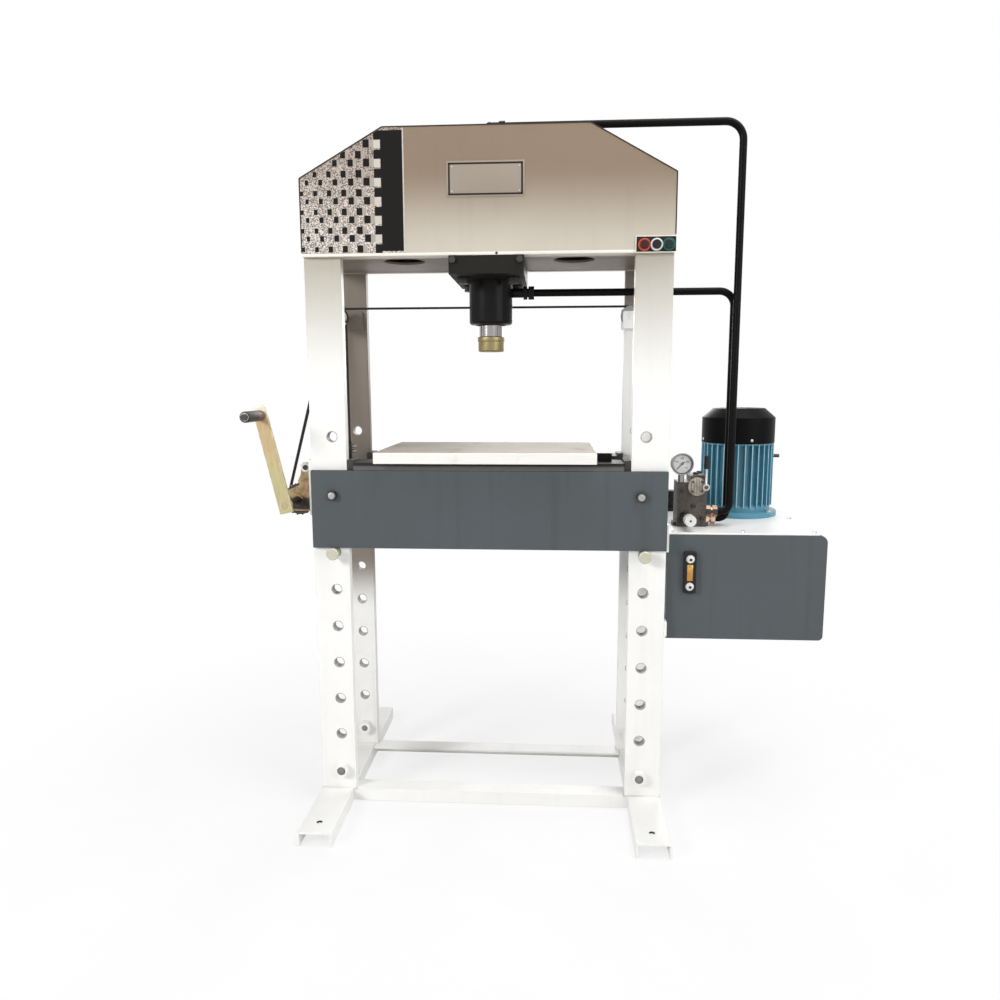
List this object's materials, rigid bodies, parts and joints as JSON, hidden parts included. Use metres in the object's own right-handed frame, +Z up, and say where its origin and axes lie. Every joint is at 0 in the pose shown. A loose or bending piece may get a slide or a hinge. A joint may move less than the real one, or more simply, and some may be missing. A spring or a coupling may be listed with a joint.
{
  "type": "hydraulic workshop press",
  "caption": "Floor-standing H-frame hydraulic press with ram, hoisted pin-rested bolster, side winch and motor-driven power pack.",
  "frame": {"origin": "on the floor, at the centre of the four anchor holes, below the ram", "axes": "+X to the operator's right, towards the power pack; +Y from the operator's side to the back; +Z up"},
  "size_m": [1.4462, 0.767, 1.7849],
  "materials": {
    "cream_paint": "satin beige-grey enamel",
    "white_paint": "satin off-white enamel",
    "slate_paint": "satin slate-grey enamel",
    "black_paint": "semi-gloss black enamel",
    "black_pipe": "gloss black painted steel tube",
    "blue_paint": "gloss blue enamel on cast iron",
    "grey_paint": "flat grey primer",
    "machined_steel": "ground plate with light oil",
    "dark_steel": "blackened steel",
    "bright_chrome": "hard chrome",
    "brass_cap": "turned brass, dulled",
    "yellow_zinc": "yellow-passivated zinc plate",
    "cast_brown": "rough oxidised casting",
    "wire_rope": "greased wire rope",
    "black_plastic": "moulded, slight grain",
    "red_plastic": "moulded",
    "white_plastic": "moulded",
    "green_plastic": "moulded",
    "pump_iron": "machined casting"
  },
  "bodies": {
    "frame": {"front_left_upright": "cream_paint", "front_right_upright": "cream_paint", "rear_left_upright": "cream_paint", "rear_right_upright": "cream_paint", "header_plates": "cream_paint", "header_fascia": "cream_paint", "header_roof": "cream_paint", "header_floor": "cream_paint", "feet": "white_paint", "floor_ties": "white_paint", "frame_bolts": "dark_steel", "cylinder_mount": "black_paint", "cylinder_barrel": "black_paint", "cylinder_ends": "dark_steel", "port_fittings": "black_paint", "upper_pipe": "black_pipe", "lower_pipe": "black_pipe", "wire_ropes": "wire_rope", "sheave_brackets": "cream_paint", "winch_frame": "yellow_zinc", "button_panel": "black_plastic", "tank_shell": "slate_paint", "tank_lid": "white_paint", "tank_brackets": "cream_paint", "level_gauge": "black_plastic", "filler_breather": "black_plastic", "motor_housing": "blue_paint", "fan_cowl": "black_paint", "pump": "pump_iron", "valve_block": "cast_brown", "pressure_gauge": "bright_chrome"},
    "ram": {"piston_rod": "bright_chrome", "ram_cap": "brass_cap"},
    "bolster": {"front_bolster_channel": "slate_paint", "rear_bolster_channel": "slate_paint", "bolster_ribs": "slate_paint", "clamp_screws": "dark_steel", "support_bars": "grey_paint", "table_plate": "machined_steel", "stop_block": "black_paint", "guide_blocks": "dark_steel", "rope_falls": "wire_rope", "rope_eyes": "wire_rope", "rope_clamps": "dark_steel"},
    "hoist_drum": {"winch_drum": "yellow_zinc", "rope_coil": "wire_rope", "crank_arm": "yellow_zinc"},
    "grip": {"crank_grip": "black_plastic"},
    "pawl": {"ratchet_pawl": "yellow_zinc"},
    "left_sheave_pair": {"left_sheaves": "dark_steel"},
    "right_sheave_wheel": {"right_sheave": "dark_steel"},
    "left_pin": {"left_rest_pin": "yellow_zinc"},
    "right_pin": {"right_rest_pin": "yellow_zinc"},
    "red_push": {"red_button": "red_plastic"},
    "white_push": {"white_button": "white_plastic"},
    "green_push": {"green_button": "green_plastic"},
    "rotor": {"motor_rotor": "dark_steel"},
    "lever": {"valve_lever": "bright_chrome"},
    "knob": {"relief_knob": "bright_chrome"},
    "needle": {"gauge_needle": "black_plastic"}
  },
  "joints": [
    {"name": "ram_stroke", "type": "slide", "parent": "frame", "child": "ram", "axis": [0, 0, -1], "range_m": [0, 0.25]},
    {"name": "bolster_lift", "type": "slide", "parent": "frame", "child": "bolster", "axis": [0, 0, -1], "range_m": [-0.2, 0], "deforming": ["rope_falls"]},
    {"name": "drum_turn", "type": "hinge", "parent": "frame", "child": "hoist_drum", "pos_m": [-0.513, 0, 0.822], "axis": [0, 1, 0], "range_deg": [-330, 5]},
    {"name": "grip_spin", "type": "hinge", "parent": "hoist_drum", "child": "grip", "pos_m": [-0.56475, -0.245, 1.0498], "axis": [0, 1, 0], "continuous": true},
    {"name": "pawl_swing", "type": "hinge", "parent": "frame", "child": "pawl", "pos_m": [-0.489, -0.075, 0.909], "axis": [0, 1, 0], "range_deg": [0, 50]},
    {"name": "left_sheave_turn", "type": "hinge", "parent": "frame", "child": "left_sheave_pair", "pos_m": [-0.43, 0.064, 1.308], "axis": [0, 1, 0], "continuous": true},
    {"name": "right_sheave_turn", "type": "hinge", "parent": "frame", "child": "right_sheave_wheel", "pos_m": [0.376, 0.07, 1.308], "axis": [0, 1, 0], "continuous": true},
    {"name": "left_pin_pull", "type": "slide", "parent": "frame", "child": "left_pin", "axis": [0, -1, 0], "range_m": [0, 0.29]},
    {"name": "right_pin_pull", "type": "slide", "parent": "frame", "child": "right_pin", "axis": [0, -1, 0], "range_m": [0, 0.29]},
    {"name": "red_press", "type": "slide", "parent": "frame", "child": "red_push", "axis": [0, 1, 0], "range_m": [0, 0.004], "stiffness_N_per_m": 400, "springref_m": -0.002},
    {"name": "white_press", "type": "slide", "parent": "frame", "child": "white_push", "axis": [0, 1, 0], "range_m": [0, 0.004], "stiffness_N_per_m": 400, "springref_m": -0.002},
    {"name": "green_press", "type": "slide", "parent": "frame", "child": "green_push", "axis": [0, 1, 0], "range_m": [0, 0.004], "stiffness_N_per_m": 400, "springref_m": -0.002},
    {"name": "rotor_spin", "type": "hinge", "parent": "frame", "child": "rotor", "pos_m": [0.703, 0.206, 0.9], "axis": [0, 0, 1], "continuous": true},
    {"name": "lever_swing", "type": "hinge", "parent": "frame", "child": "lever", "pos_m": [0.567, -0.05, 0.857], "axis": [0, 1, 0], "range_deg": [-20, 20], "stiffness_Nm_per_rad": 0.6},
    {"name": "knob_turn", "type": "hinge", "parent": "frame", "child": "knob", "pos_m": [0.518, -0.107, 0.778], "axis": [0, 1, 0], "range_deg": [0, 340]},
    {"name": "needle_swing", "type": "hinge", "parent": "frame", "child": "needle", "pos_m": [0.5055, -0.043, 0.917], "axis": [0, 1, 0], "range_deg": [0, 270], "stiffness_Nm_per_rad": 0.002, "springref_deg": -22.92}
  ],
  "couplings": [
    {"joint": "drum_turn", "follows": "bolster_lift", "rad_per_m": 27.778},
    {"joint": "left_sheave_turn", "follows": "bolster_lift", "rad_per_m": 40},
    {"joint": "right_sheave_turn", "follows": "bolster_lift", "rad_per_m": 40}
  ]
}
